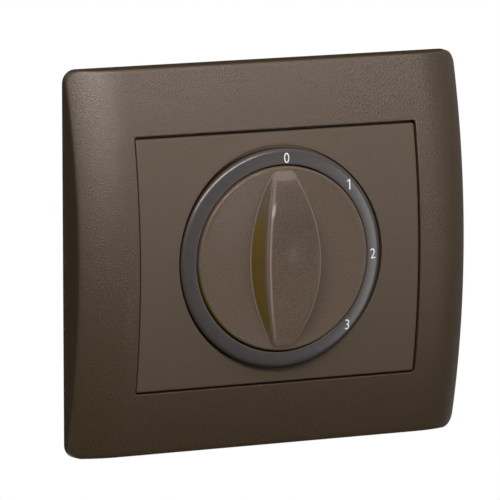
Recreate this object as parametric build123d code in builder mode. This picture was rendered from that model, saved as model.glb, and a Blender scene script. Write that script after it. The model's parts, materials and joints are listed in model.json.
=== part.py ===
from build123d import *
import os
from math import asin, degrees, sqrt

# Rotary wall switch with four positions: crowned frame, cover plate, dial ring and lens-grip knob in
# front of the wall, and the cam-and-leaf switch on a steel yoke behind them.
# Frame: +X right, +Z up, the front faces -Y. The origin is on the knob axis, in the wall plane.
# A depth is a distance forward of the wall plane, so pieces inside the wall box have negative depths.

os.makedirs("parts", exist_ok=True)

# Crowned frame
frame_corner = 2.9
frame_draft = 3.0
frame_wall = 2.0
crown_radius = 141.0
corner_height = 0.8
side_run = 10.7
side_drop = 3.9
edge_round = 0.8
post_width = 5.0
post_thickness = 2.0
post_inset = 8.5

# Steel yoke, with room round it inside the frame
slot_spacing = 60.0
slot_width = 4.2
slot_length = 7.0
slot_edge = 2.0
yoke_corner = 4.0
yoke_thickness = 1.2
yoke_room_side = 7.9
yoke_room_end = 3.5
post_clearance = 0.4

# Cover plate in the frame's opening
plate_side_margin = 8.77
plate_end_margin = 3.04
plate_corner = 0.8
plate_round = 0.35
plate_gap = 0.32
plate_gap_top = 0.6
plate_gap_foot = 0.35
plate_step = 0.25
plate_thickness = 1.6
ledge_width = 2.3
ledge_thickness = 1.6
seat_clearance = 0.1
land_width = 0.5
land_spread = 2.6
land_drop = 1.95
well_depth = 3.7
well_wall = 1.3
well_floor = 1.4

# Dial ring
ring_width = 3.45
ring_proud = 0.4
ring_thickness = 2.4
ring_gap = 0.32
ring_round = 0.8
ring_inner_round = 0.2

# Knob
knob_radius = 19.55
knob_gap = 0.3
knob_rise = 0.85
knob_wall = 1.7
skirt_clearance = 1.25
rim_round = 0.5
grip_land = 0.1
grip_base = 14.9
grip_end = 4.6
grip_corner = 1.6
grip_height = 5.95
grip_end_height = 0.9
grip_taper = 13.0
grip_round = 0.8
foot_round = 0.5
hub_wall = 1.6
hub_clearance = 0.6
hub_ring_wall = 0.6
hub_ring_play = 0.55

# Spindle, its bush and the nut on it
spindle_radius = 3.0
flat_depth = 1.0
spindle_end = 2.6
pin_step = 1.0
pin_length = 2.0
running_fit = 0.03
press_fit = 0.02
bush_wall = 2.0
bush_proud = 0.4
bush_clearance = 0.2
nut_wall = 2.5
nut_height = 2.2

# Cam rotor and its clip
washer_thickness = 0.8
washer_rim = 1.0
star_rise = 1.5
star_thickness = 3.1
star_notches = 8
notch_side = 2.0
cam_radius = 7.5
cam_scoop = 3.2
cam_dip = 1.5
cam_thickness = 3.6
cam_space = 0.2
rotor_wall = 2.0
rotor_tail = 1.6
lug_rise = 2.2
lug_width = 3.0
stop_length = 3.2
position_angle = 45.0
position_count = 4
clip_thickness = 0.7
clip_groove = 0.8
clip_rise = 1.6
clip_mouth = 3.6

# Springs, blades and contacts
running_gap = 0.3
leaf_thickness = 0.4
leaf_width = 2.7
leaf_seat = 3.1
blade_thickness = 0.5
blade_width = 3.0
blade_crest = 2.4
blade_rise = 1.9
blade_bend = 0.5
button_radius = 1.2
button_height = 0.5
button_edge = 0.6
contact_gap = 1.3
bar_width = 4.3
bar_height = 2.0
strap_thickness = 0.8
strap_bend = 1.0
strap_clearance = 0.9
strap_width = 3.2
strap_inset = 2.6
tip_gap = 3.5
foot_margin = 0.2

# Terminals in the four corners of the housing
block_size = 7.6
block_depth = 7.4
block_play = 0.4
block_clearance = 0.3
wire_radius = 1.8
wire_entry = 2.4
partition = 1.1

# Switch housing behind the yoke
body_corner = 3.0
body_wall = 1.8
body_front = 2.4
bearing_rise = 0.3
cover_thickness = 2.4
boss_radius = 2.8

# Screws
screw_radius = 1.45
screw_length = 7.0
screw_head = 1.4
head_radius = 2.5
screw_fit = 0.1
head_fit = 0.25

# Frame, yoke and cover plate, worked out from the sizes
yoke_size = slot_spacing + slot_length + 2 * slot_edge
frame_width = yoke_size + 2 * (frame_wall + yoke_room_side)
frame_height = yoke_size + 2 * (frame_wall + yoke_room_end)
crown_drop = crown_radius - sqrt((crown_radius - side_drop) ** 2 - (frame_height / 2) ** 2)
crown_depth = corner_height + crown_drop
ring_bore = knob_radius + knob_gap
ring_radius = ring_bore + ring_width
seat_radius = ring_radius + ring_gap
plate_width = 2 * (seat_radius + plate_side_margin)
plate_height = 2 * (seat_radius + plate_end_margin)
plate_back = plate_step + plate_thickness
opening_width = plate_width + 2 * plate_gap
opening_height = plate_height + plate_gap_top + plate_gap_foot
plate_low = (plate_gap_top - plate_gap_foot) / 2
ledge_face = plate_back + seat_clearance
post_x = yoke_size / 2 - post_inset
post_z = (opening_height + yoke_size) / 4

# Ring, knob and spindle along the knob axis
ring_face = crown_depth - plate_step + ring_proud
ring_seat = ring_face - ring_thickness
well_radius = ring_bore + knob_gap
floor_depth = ring_seat - well_depth
rim_depth = ring_face + knob_rise
skirt_back = floor_depth + skirt_clearance
cavity_face = rim_depth - knob_wall
grip_reach = knob_radius - rim_round - foot_round - grip_land
grip_length = 2 * sqrt(grip_reach**2 - (grip_end / 2) ** 2)
bush_radius = spindle_radius + bush_wall
bush_end = floor_depth + nut_height + bush_proud
hub_radius = spindle_radius + hub_wall
hub_back = bush_end + hub_clearance
hub_ring_height = cavity_face - hub_back - hub_ring_play
spindle_flat = spindle_radius - flat_depth
spindle_front = rim_depth + spindle_end
pin_radius = spindle_radius - pin_step

# Rotor, from the housing's front wall to the rear bearing
rotor_hub = spindle_radius + rotor_wall
star_radius = cam_radius + star_rise
star_front = -body_front - washer_thickness - running_gap
star_back = star_front - star_thickness
cam_front = star_back - cam_space
cam_pitch = cam_thickness + cam_space
cam_count = position_count - 1
travel = position_angle * cam_count
tail_back = cam_front - cam_count * cam_pitch - rotor_tail
clip_back = tail_back - cam_space - clip_thickness
spindle_back = clip_back - clip_groove
bearing_face = spindle_back - cam_space
rear_face = bearing_face - bearing_rise

# Blades, terminals and the housing round them
blade_top = -(cam_radius + running_gap + blade_rise)
blade_low = blade_top - blade_thickness
block_face = bar_height - blade_low
block_offset = block_face + block_size / 2
block_back = rear_face + block_clearance
block_front = block_back + block_depth
block_mid = (block_front + block_back) / 2
pocket_face = block_face - block_clearance
body_inner = 2 * (block_offset + block_size / 2 + block_play)
body_size = body_inner + 2 * body_wall
corner_root = (body_inner + body_wall) / 2
pillar_width = corner_root - pocket_face
pillar_height = corner_root - block_face
pillar_x = pocket_face + pillar_width / 2
pillar_z = block_face + pillar_height / 2
boss_offset = body_inner / 2 - boss_radius - block_play


def front(depth):
    """Plane parallel to the wall, a depth forward of it, seen from the front."""
    return Plane.XZ.offset(depth)


def crown_at(height, inset):
    """Depth of the crowned face, or of a face that far behind it, at a height on the middle line."""
    radius = crown_radius - inset
    return crown_depth - inset - radius + sqrt(radius**2 - height**2)


def crowned_block(width, height, corner, inset, draft=0, lower=0):
    """Rounded block from the wall plane to the crowned face, or to a face that far behind it."""
    reach = frame_width / 2 - side_run
    roll = (side_run**2 + side_drop**2) / (2 * side_drop)
    roll_angle = 75
    back = 3 * crown_depth
    crown_axis = Axis((0, crown_radius - crown_depth, 0), (1, 0, 0))
    with BuildPart() as block:
        with BuildSketch(front(0)):
            with Locations((0, -lower)):
                RectangleRounded(width, height, corner)
        extrude(amount=crown_depth, taper=draft)
        with BuildSketch(Plane.XY):
            with BuildLine():
                right = CenterArc((reach, roll - crown_depth), roll - inset, -90, roll_angle)
                left = CenterArc((-reach, roll - crown_depth), roll - inset, -90, -roll_angle)
                Line(left @ 0, right @ 0)
                Polyline(right @ 1, ((right @ 1).X, back), ((left @ 1).X, back), left @ 1)
            make_face()
        revolve(axis=crown_axis, mode=Mode.INTERSECT)
    return block.part


def grip_form(base, end, length, corner, foot, rounding):
    """Lens-shaped grip that stands on a plane at the foot depth, tapered and arched lengthwise."""
    half = length / 2
    low = -foot - grip_end_height
    high = -foot - grip_height
    with BuildPart() as grip:
        with BuildSketch(front(foot)) as outline:
            with BuildLine():
                ThreePointArc((end / 2, half), (base / 2, 0), (end / 2, -half))
                Line((end / 2, -half), (-end / 2, -half))
                ThreePointArc((-end / 2, -half), (-base / 2, 0), (-end / 2, half))
                Line((-end / 2, half), (end / 2, half))
            make_face()
            fillet(outline.vertices(), radius=corner)
        extrude(amount=grip_height, taper=grip_taper)
        with BuildSketch(Plane.YZ):
            with BuildLine():
                ThreePointArc((low, -half), (high, 0), (low, half))
                Polyline((low, half), (-foot, half), (-foot, -half), (low, -half))
            make_face()
        extrude(amount=base, both=True, mode=Mode.INTERSECT)
        if rounding:
            fillet(grip.faces().sort_by(Axis.Y)[0].edges(), radius=rounding)
    return grip.part


def flatted_circle(radius, flat):
    """Round outline with one flat side, for the spindle's driving flat and the bores on it."""
    Circle(radius)
    with Locations((flat + radius, 0)):
        Rectangle(2 * radius, 2 * radius, mode=Mode.SUBTRACT)


def on_outline(edge):
    """True for an edge that runs along the frame's outer sides."""
    side_x = frame_width / 2 - frame_corner
    side_z = frame_height / 2 - frame_corner
    return abs(edge.center().X) > side_x or abs(edge.center().Z) > side_z


def keep(piece, name):
    """Label a finished piece and write it to its own file."""
    piece.part.label = name
    export_step(piece.part, f"parts/{name}.step")


# Outer frame: crowned shell, ledge round its opening and four posts that drop into the yoke
shell_width = frame_width - 2 * frame_wall
shell_height = frame_height - 2 * frame_wall
shell_corner = max(frame_corner - frame_wall, frame_wall / 2)
crown_shell = crowned_block(frame_width, frame_height, frame_corner, 0, draft=frame_draft)
shell_inside = crowned_block(shell_width, shell_height, shell_corner, frame_wall, draft=frame_draft)
ledge_top = crowned_block(shell_width, shell_height, shell_corner, ledge_face)
ledge_under = crowned_block(shell_width, shell_height, shell_corner, ledge_face + ledge_thickness)

with BuildPart() as collar:
    with BuildSketch(front(0)):
        Rectangle(opening_width + 2 * frame_wall, opening_height + 2 * frame_wall)
    extrude(amount=crown_depth)
    add(ledge_under, mode=Mode.SUBTRACT)

with BuildPart() as hollow:
    add(shell_inside)
    add(collar.part, mode=Mode.SUBTRACT)

with BuildPart() as pocket:
    with BuildSketch(front(0)):
        RectangleRounded(opening_width, opening_height, plate_corner + plate_gap)
    extrude(amount=2 * crown_depth)
    add(ledge_top, mode=Mode.SUBTRACT)

with BuildPart() as outer_frame:
    add(crown_shell)
    rim_edges = outer_frame.edges().filter_by(on_outline).filter_by(Axis.Y, reverse=True)
    fillet(rim_edges - outer_frame.faces().sort_by(Axis.Y)[-1].edges(), radius=edge_round)
    add(hollow.part, mode=Mode.SUBTRACT)
    add(pocket.part, mode=Mode.SUBTRACT)
    with BuildSketch(front(0)):
        Rectangle(opening_width - 2 * ledge_width, opening_height - 2 * ledge_width)
    extrude(amount=crown_depth, mode=Mode.SUBTRACT)
    with BuildSketch(front(post_clearance)):
        with GridLocations(2 * post_x, 2 * post_z, 2, 2):
            Rectangle(post_width, post_thickness)
    extrude(amount=crown_at(post_z, frame_wall / 2) - post_clearance)
keep(outer_frame, "outer_frame")

# Cover plate: arched plate with a soft land round the dial ring and a well for the knob
plate_blank = crowned_block(plate_width, plate_height, plate_corner, plate_step, lower=plate_low)
under_width = plate_width + plate_corner
under_height = plate_height + plate_corner
plate_under = crowned_block(under_width, under_height, plate_corner, plate_back, lower=plate_low)
land_edge = seat_radius + land_width
land_foot = land_edge + land_spread
land_slope = land_foot / (crown_radius - plate_step)
well_outer = well_radius + well_wall
well_back = floor_depth - well_floor
land_top = (land_edge, land_drop - crown_at(0, plate_step))
land_low = (land_foot, -crown_at(land_foot, plate_step))
land_back = -crown_at(opening_height / 2 - ledge_width, plate_back)

with BuildPart() as land:
    with BuildSketch(Plane.XY):
        with BuildLine():
            TangentArc(land_low, land_top, tangent=(-1, -land_slope))
            Polyline(
                land_top,
                (0, land_top[1]),
                (0, -well_back),
                (well_outer, -well_back),
                (well_outer, land_back),
                (land_foot, land_back),
                land_low,
            )
        make_face()
    revolve(axis=Axis.Y)
    with BuildSketch(front(0)):
        with Locations((0, -plate_low)):
            RectangleRounded(plate_width, plate_height, plate_corner)
    extrude(amount=2 * crown_depth, mode=Mode.INTERSECT)

with BuildPart() as cover_plate:
    add(plate_blank)
    face_edges = cover_plate.edges().filter_by(Axis.Y, reverse=True)
    fillet(face_edges - cover_plate.faces().sort_by(Axis.Y)[-1].edges(), radius=plate_round)
    add(plate_under, mode=Mode.SUBTRACT)
    add(land.part)
    with BuildSketch(front(ring_seat)):
        Circle(seat_radius)
    extrude(amount=crown_depth, mode=Mode.SUBTRACT)
    with BuildSketch(front(floor_depth)):
        Circle(well_radius)
    extrude(amount=crown_depth, mode=Mode.SUBTRACT)
    with BuildSketch(front(0)):
        Circle(bush_radius + bush_clearance)
    extrude(amount=crown_depth, mode=Mode.SUBTRACT)
keep(cover_plate, "cover_plate")

# Dial ring: flat ring with a rounded outer edge, in its seat on the cover plate
with BuildPart() as dial_ring:
    with BuildSketch(front(ring_seat)):
        Circle(ring_radius)
        Circle(ring_bore, mode=Mode.SUBTRACT)
    extrude(amount=ring_thickness)
    face_edges = dial_ring.edges().group_by(Axis.Y)[0].sort_by(SortBy.RADIUS)
    fillet(face_edges[-1], radius=ring_round)
    fillet(dial_ring.edges().group_by(Axis.Y)[0].sort_by(SortBy.RADIUS)[0], radius=ring_inner_round)
keep(dial_ring, "dial_ring")

# Knob: shallow moulded cup with a hollow lens-shaped grip across it and a hub on the spindle
cavity_base = grip_base - 2 * knob_wall
cavity_end = grip_end - knob_wall
cavity_length = grip_length - 4 * knob_wall
grip_outer = grip_form(grip_base, grip_end, grip_length, grip_corner, rim_depth, grip_round)
grip_inner = grip_form(cavity_base, cavity_end, cavity_length, grip_corner / 2, cavity_face, 0)

with BuildPart() as knob:
    with BuildSketch(front(skirt_back)):
        Circle(knob_radius)
    extrude(amount=rim_depth - skirt_back)
    add(grip_outer)
    disc_face = knob.faces().filter_by(Axis.Y).sort_by(Axis.Y)[0]
    fillet(disc_face.edges().sort_by(SortBy.LENGTH)[:-1], radius=foot_round)
    disc_face = knob.faces().filter_by(Axis.Y).sort_by(Axis.Y)[0]
    fillet(disc_face.edges().sort_by(SortBy.LENGTH)[-1], radius=rim_round)
    with BuildSketch(front(skirt_back)):
        Circle(knob_radius - knob_wall)
    extrude(amount=cavity_face - skirt_back, mode=Mode.SUBTRACT)
    add(grip_inner, mode=Mode.SUBTRACT)
    with BuildSketch(front(hub_back)):
        Circle(hub_radius)
    extrude(amount=rim_depth + grip_height - knob_wall / 2 - hub_back)
    with BuildSketch(front(hub_back)):
        flatted_circle(spindle_radius + press_fit, spindle_flat + press_fit)
    extrude(amount=spindle_front + press_fit - hub_back, mode=Mode.SUBTRACT)
keep(knob, "knob")

with BuildPart() as hub_ring:
    with BuildSketch(front(hub_back)):
        Circle(hub_radius + hub_ring_wall)
        Circle(hub_radius + press_fit, mode=Mode.SUBTRACT)
    extrude(amount=hub_ring_height)
keep(hub_ring, "hub_ring")

# Spindle: round shaft with a driving flat at both ends, a clip groove and a rear pin
with BuildPart() as spindle:
    with BuildSketch(front(spindle_back)):
        Circle(spindle_radius)
    extrude(amount=spindle_front - spindle_back)
    for flat_from, flat_to in ((tail_back, star_front), (hub_back, spindle_front)):
        with BuildSketch(front(flat_from)):
            with Locations((spindle_flat + spindle_radius, 0)):
                Rectangle(2 * spindle_radius, 2 * spindle_radius)
        extrude(amount=flat_to - flat_from, mode=Mode.SUBTRACT)
    with BuildSketch(front(clip_back - press_fit)):
        Circle(2 * spindle_radius)
        Circle(spindle_radius - clip_groove, mode=Mode.SUBTRACT)
    extrude(amount=clip_thickness + 2 * press_fit, mode=Mode.SUBTRACT)
    with BuildSketch(front(spindle_back)):
        Circle(pin_radius)
    extrude(amount=-pin_length)
keep(spindle, "spindle")

with BuildPart() as spindle_clip:
    with BuildSketch(front(clip_back)):
        Circle(spindle_radius + clip_rise)
        Circle(spindle_radius - clip_groove + press_fit, mode=Mode.SUBTRACT)
        with Locations((0, -2 * spindle_radius)):
            Rectangle(clip_mouth, 4 * spindle_radius, mode=Mode.SUBTRACT)
    extrude(amount=clip_thickness)
keep(spindle_clip, "spindle_clip")

# Plate nut: hexagon nut on the bush, holding the cover plate and frame to the wall
with BuildPart() as plate_nut:
    with BuildSketch(front(floor_depth)):
        RegularPolygon(bush_radius + nut_wall, 6)
        Circle(bush_radius + running_fit, mode=Mode.SUBTRACT)
    extrude(amount=nut_height)
keep(plate_nut, "plate_nut")

# Support yoke: square sheet with oblong screw slots on both centre lines and windows for the posts
window_width = post_width + 2 * post_clearance
window_height = post_thickness + 2 * post_clearance

with BuildPart() as support_yoke:
    with BuildSketch(front(0)):
        RectangleRounded(yoke_size, yoke_size, yoke_corner)
        Circle(bush_radius + bush_clearance, mode=Mode.SUBTRACT)
        with GridLocations(slot_spacing, 0, 2, 1):
            SlotOverall(slot_length, slot_width, mode=Mode.SUBTRACT)
        with GridLocations(0, slot_spacing, 1, 2):
            SlotOverall(slot_length, slot_width, rotation=90, mode=Mode.SUBTRACT)
        with GridLocations(2 * post_x, 2 * post_z, 2, 2):
            Rectangle(window_width, window_height, mode=Mode.SUBTRACT)
        with GridLocations(2 * block_offset, 2 * block_offset, 2, 2):
            Circle(screw_radius + screw_fit, mode=Mode.SUBTRACT)
    extrude(amount=yoke_thickness)
keep(support_yoke, "support_yoke")

# Front housing: open moulded box with the spindle bush, terminal pockets, screw bosses and end stops
stop_inner = star_radius + running_gap
stop_swing = 2 * degrees(asin((lug_width + running_gap) / (2 * stop_inner)))
lug_start = 270 + travel / 2
stop_angles = (lug_start + stop_swing, lug_start - travel - stop_swing)

with BuildPart() as front_housing:
    with BuildSketch(front(rear_face)):
        RectangleRounded(body_size, body_size, body_corner)
    extrude(amount=-rear_face)
    with BuildSketch(front(rear_face)):
        Rectangle(body_inner, body_inner)
    extrude(amount=-body_front - rear_face, mode=Mode.SUBTRACT)
    with BuildSketch(front(block_front)):
        with GridLocations(2 * pillar_x, 2 * pillar_z, 2, 2):
            Rectangle(pillar_width, pillar_height)
    extrude(amount=-body_front - block_front)
    with BuildSketch(front(rear_face)):
        with GridLocations(2 * pocket_face - partition, 2 * pillar_z, 2, 2):
            Rectangle(partition, pillar_height)
    extrude(amount=-body_front - rear_face)
    with BuildSketch(front(rear_face)):
        with GridLocations(0, 2 * boss_offset, 1, 2):
            Circle(boss_radius)
        with GridLocations(0, corner_root + boss_offset, 1, 2):
            Rectangle(2 * boss_radius, corner_root - boss_offset)
    extrude(amount=-body_front - rear_face)
    with BuildSketch(front(star_back)):
        for stop_angle in stop_angles:
            with PolarLocations(stop_inner + stop_length / 2, 1, start_angle=stop_angle):
                Rectangle(stop_length, lug_width)
    extrude(amount=-body_front - star_back)
    with BuildSketch(front(-body_front)):
        Circle(bush_radius)
    extrude(amount=bush_end + body_front)
    with BuildSketch(front(-body_front)):
        Circle(spindle_radius + running_fit)
    extrude(amount=bush_end + body_front, mode=Mode.SUBTRACT)
    with BuildSketch(front(0)):
        with GridLocations(2 * block_offset, 2 * block_offset, 2, 2):
            Circle(screw_radius + screw_fit)
    extrude(amount=-screw_length, mode=Mode.SUBTRACT)
    with BuildSketch(front(rear_face)):
        with GridLocations(0, 2 * boss_offset, 1, 2):
            Circle(screw_radius + screw_fit)
    extrude(amount=screw_length, mode=Mode.SUBTRACT)
    for side in (-1, 1):
        with BuildSketch(Plane.XY.offset(side * block_offset)):
            with Locations((-block_offset, -block_mid), (block_offset, -block_mid)):
                Circle(head_radius + head_fit)
        extrude(amount=side * body_size, mode=Mode.SUBTRACT)
keep(front_housing, "front_housing")

# Rear cover: plate with the rear bearing, wire entries and recessed screw heads
with BuildPart() as rear_cover:
    with BuildSketch(front(rear_face - cover_thickness)):
        RectangleRounded(body_size, body_size, body_corner)
    extrude(amount=cover_thickness)
    with BuildSketch(front(rear_face)):
        Circle(rotor_hub)
    extrude(amount=bearing_face - rear_face)
    with BuildSketch(front(bearing_face)):
        Circle(pin_radius + running_fit)
    extrude(amount=-pin_length - cam_space, mode=Mode.SUBTRACT)
    with BuildSketch(front(rear_face - cover_thickness)):
        with GridLocations(2 * block_offset, 2 * block_offset, 2, 2):
            Circle(wire_entry)
        with GridLocations(0, 2 * boss_offset, 1, 2):
            Circle(screw_radius + screw_fit)
    extrude(amount=cover_thickness, mode=Mode.SUBTRACT)
    with BuildSketch(front(rear_face - cover_thickness)):
        with GridLocations(0, 2 * boss_offset, 1, 2):
            Circle(head_radius + head_fit)
    extrude(amount=screw_head, mode=Mode.SUBTRACT)
keep(rear_cover, "rear_cover")

# Cam rotor: star wheel with a stop lug, and one cam for each switched circuit
with BuildPart() as cam_rotor:
    with BuildSketch(front(star_back)):
        Circle(star_radius)
        with PolarLocations(star_radius, star_notches, start_angle=90):
            Rectangle(notch_side, notch_side, rotation=45, mode=Mode.SUBTRACT)
        with PolarLocations((rotor_hub + star_radius + lug_rise) / 2, 1, start_angle=lug_start):
            Rectangle(star_radius + lug_rise - rotor_hub, lug_width)
    extrude(amount=star_thickness)
    with BuildSketch(front(tail_back)):
        Circle(rotor_hub)
    extrude(amount=star_front - tail_back)
    for circuit in range(1, cam_count + 1):
        with BuildSketch(front(cam_front - circuit * cam_pitch + cam_space)):
            Circle(cam_radius)
            dip_angle = 270 + circuit * position_angle
            with PolarLocations(cam_radius - cam_dip + cam_scoop, 1, start_angle=dip_angle):
                Circle(cam_scoop, mode=Mode.SUBTRACT)
        extrude(amount=cam_thickness)
    with BuildSketch(front(tail_back)):
        flatted_circle(spindle_radius + press_fit, spindle_flat + press_fit)
    extrude(amount=star_front - tail_back, mode=Mode.SUBTRACT)
keep(cam_rotor, "cam_rotor")

with BuildPart() as thrust_washer:
    with BuildSketch(front(-body_front)):
        Circle(rotor_hub + washer_rim)
        Circle(spindle_radius + running_fit, mode=Mode.SUBTRACT)
    extrude(amount=-washer_thickness)
keep(thrust_washer, "thrust_washer")

# Detent spring: leaf behind two pillars whose bump drops into the star wheel's notches
leaf_low = block_face - leaf_thickness
leaf_end = pocket_face + leaf_seat
bump_tip = star_radius - notch_side / sqrt(2) + running_gap * sqrt(2)
bump_run = leaf_low - bump_tip

with BuildPart() as detent_spring:
    with BuildSketch(front((star_front + star_back - leaf_width) / 2)):
        with BuildLine():
            FilletPolyline(
                (-leaf_end, leaf_low),
                (-bump_run, leaf_low),
                (0, bump_tip),
                (bump_run, leaf_low),
                (leaf_end, leaf_low),
                radius=leaf_thickness,
            )
            offset(amount=leaf_thickness, side=Side.LEFT)
        make_face()
    extrude(amount=leaf_width)
keep(detent_spring, "detent_spring")

# Common bar: brass bar on the supply terminal that carries the three blades
strap_reach = body_inner / 2 - strap_inset

with BuildPart() as common_bar:
    with BuildSketch(front(block_back)):
        with Locations((bar_width / 2 - strap_reach, (blade_low - block_face) / 2)):
            Rectangle(bar_width, bar_height)
    extrude(amount=cam_front - block_back)
keep(common_bar, "common_bar")

# One blade and one fixed contact for each circuit; the blade's crest rides on its cam
crest_low = blade_top + blade_rise - blade_thickness
tip_start = cam_radius + tip_gap
button_x = tip_start + button_radius
blade_reach = button_x + button_radius + button_edge
tip_bottom = blade_top + button_height + contact_gap
tip_top = tip_bottom + strap_thickness
strap_inner = strap_reach - strap_thickness
foot_end = block_face + foot_margin
foot_middle = (foot_end + strap_reach) / 2
foot_low = block_face - strap_thickness
cross_top = cam_radius + strap_clearance + strap_thickness
lower_route = (
    (tip_start, tip_top),
    (strap_reach, tip_top),
    (strap_reach, -block_face),
    (foot_end, -block_face),
)
upper_route = (
    (tip_start, tip_bottom),
    (strap_reach, tip_bottom),
    (strap_reach, block_face),
    (foot_end, block_face),
)
cross_route = (
    (tip_start, tip_bottom),
    (strap_reach, tip_bottom),
    (strap_reach, cross_top),
    (-strap_inner, cross_top),
    (-strap_inner, foot_low),
    (-foot_end, foot_low),
)
straps = (
    (lower_route, Side.RIGHT, foot_middle, -1),
    (upper_route, Side.LEFT, foot_middle, 1),
    (cross_route, Side.LEFT, -foot_middle, 1),
)
for circuit, (route, inside, foot_x, foot_side) in enumerate(straps, start=1):
    level = cam_front - circuit * cam_pitch + cam_space + cam_thickness / 2
    with BuildPart() as blade:
        with BuildSketch(front(level - blade_width / 2)):
            with BuildLine():
                FilletPolyline(
                    (-strap_reach, blade_low),
                    (-blade_crest - blade_rise, blade_low),
                    (-blade_crest / 2, crest_low),
                    (blade_crest / 2, crest_low),
                    (blade_crest + blade_rise, blade_low),
                    (blade_reach, blade_low),
                    radius=blade_bend,
                )
                offset(amount=blade_thickness, side=Side.LEFT)
            make_face()
        extrude(amount=blade_width)
        with BuildSketch(Plane.XY.offset(blade_top)):
            with Locations((button_x, -level)):
                Circle(button_radius)
        extrude(amount=button_height)
    keep(blade, f"contact_blade_{circuit}")
    with BuildPart() as fixed_contact:
        with BuildSketch(front(level - strap_width / 2)):
            with BuildLine():
                FilletPolyline(*route, radius=strap_bend)
                offset(amount=strap_thickness, side=inside)
            make_face()
        extrude(amount=strap_width)
        with BuildSketch(front(block_back)):
            with Locations((foot_x, foot_side * (block_face - strap_thickness / 2))):
                Rectangle(strap_inner - foot_end - strap_thickness, strap_thickness)
        extrude(amount=level - block_back)
    keep(fixed_contact, f"fixed_contact_{circuit}")

# Terminal blocks: brass cubes with a wire bore from the rear and a clamping screw from the side
corners = {"supply_terminal": (-1, -1), "terminal_1": (1, -1), "terminal_2": (1, 1), "terminal_3": (-1, 1)}
for name, (across, side) in corners.items():
    with BuildPart() as terminal:
        with BuildSketch(front(block_back)):
            with Locations((across * block_offset, side * block_offset)):
                Rectangle(block_size, block_size)
                Circle(wire_radius, mode=Mode.SUBTRACT)
        extrude(amount=block_depth)
        with BuildSketch(Plane.XY.offset(side * block_offset)):
            with Locations((across * block_offset, -block_mid)):
                Circle(screw_radius + press_fit)
        extrude(amount=side * block_size, mode=Mode.SUBTRACT)
    keep(terminal, name)

# Screws with slotted heads: terminal screws, yoke screws and rear cover screws
slot_depth = screw_head / 2
head_outside = body_size / 2 - screw_fit
screw_tip = block_offset + wire_radius + running_gap

with BuildPart() as terminal_screws:
    for side in (-1, 1):
        with BuildSketch(Plane.XY.offset(side * screw_tip)):
            with Locations((-block_offset, -block_mid), (block_offset, -block_mid)):
                Circle(screw_radius)
        extrude(amount=side * (head_outside - screw_tip))
        with BuildSketch(Plane.XY.offset(side * head_outside)):
            with Locations((-block_offset, -block_mid), (block_offset, -block_mid)):
                Circle(head_radius)
        extrude(amount=-side * screw_head)
        with BuildSketch(Plane.XY.offset(side * head_outside)):
            with Locations((-block_offset, -block_mid), (block_offset, -block_mid)):
                Rectangle(2 * head_radius, slot_depth)
        extrude(amount=-side * slot_depth, mode=Mode.SUBTRACT)
keep(terminal_screws, "terminal_screws")

with BuildPart() as yoke_screws:
    with BuildSketch(front(press_fit - screw_length)):
        with GridLocations(2 * block_offset, 2 * block_offset, 2, 2):
            Circle(screw_radius)
    extrude(amount=screw_length + yoke_thickness)
    with BuildSketch(front(yoke_thickness)):
        with GridLocations(2 * block_offset, 2 * block_offset, 2, 2):
            Circle(head_radius)
    extrude(amount=screw_head)
    with BuildSketch(front(yoke_thickness + screw_head)):
        with GridLocations(2 * block_offset, 2 * block_offset, 2, 2):
            Rectangle(2 * head_radius, slot_depth)
    extrude(amount=-slot_depth, mode=Mode.SUBTRACT)
keep(yoke_screws, "yoke_screws")

with BuildPart() as cover_screws:
    with BuildSketch(front(rear_face - cover_thickness)):
        with GridLocations(0, 2 * boss_offset, 1, 2):
            Circle(screw_radius)
    extrude(amount=cover_thickness + screw_length - press_fit)
    with BuildSketch(front(rear_face - cover_thickness)):
        with GridLocations(0, 2 * boss_offset, 1, 2):
            Circle(head_radius)
    extrude(amount=screw_head)
    with BuildSketch(front(rear_face - cover_thickness)):
        with GridLocations(0, 2 * boss_offset, 1, 2):
            Rectangle(2 * head_radius, slot_depth)
    extrude(amount=slot_depth, mode=Mode.SUBTRACT)
keep(cover_screws, "cover_screws")
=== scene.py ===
import json
import math
import bmesh
import bpy
from mathutils import Matrix, Vector
from mathutils.kdtree import KDTree


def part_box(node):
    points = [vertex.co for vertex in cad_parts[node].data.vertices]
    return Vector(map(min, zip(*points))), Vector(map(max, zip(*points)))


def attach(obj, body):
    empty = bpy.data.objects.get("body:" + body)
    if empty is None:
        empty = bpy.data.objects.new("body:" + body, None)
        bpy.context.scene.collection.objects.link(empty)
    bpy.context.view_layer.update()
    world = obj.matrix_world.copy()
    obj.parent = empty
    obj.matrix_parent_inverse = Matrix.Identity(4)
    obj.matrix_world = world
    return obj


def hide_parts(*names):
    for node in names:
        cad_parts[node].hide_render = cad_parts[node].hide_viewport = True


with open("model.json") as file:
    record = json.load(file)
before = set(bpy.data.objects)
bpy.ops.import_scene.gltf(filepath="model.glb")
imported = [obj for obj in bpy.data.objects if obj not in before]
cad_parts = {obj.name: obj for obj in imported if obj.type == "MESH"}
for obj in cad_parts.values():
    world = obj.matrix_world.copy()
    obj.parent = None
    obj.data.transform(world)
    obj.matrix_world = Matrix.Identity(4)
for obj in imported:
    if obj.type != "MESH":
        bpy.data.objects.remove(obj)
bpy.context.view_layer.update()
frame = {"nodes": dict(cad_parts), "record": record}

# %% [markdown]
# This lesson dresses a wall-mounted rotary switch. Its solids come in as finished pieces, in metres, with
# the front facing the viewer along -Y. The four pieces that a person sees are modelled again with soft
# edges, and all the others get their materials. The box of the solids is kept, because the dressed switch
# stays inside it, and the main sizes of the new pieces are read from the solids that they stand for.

mm = 0.001
nodes = frame["nodes"]


class SolidSize:
    """How far one solid reaches, in millimetres: to the right, in height, and in front of the wall."""

    def __init__(self, node):
        low, high = (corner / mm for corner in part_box(node))
        self.reach = round(high.x, 3)
        self.height = round(high.z - low.z, 3)
        self.front = round(-low.y, 3)
        self.back = round(-high.y, 3)


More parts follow.
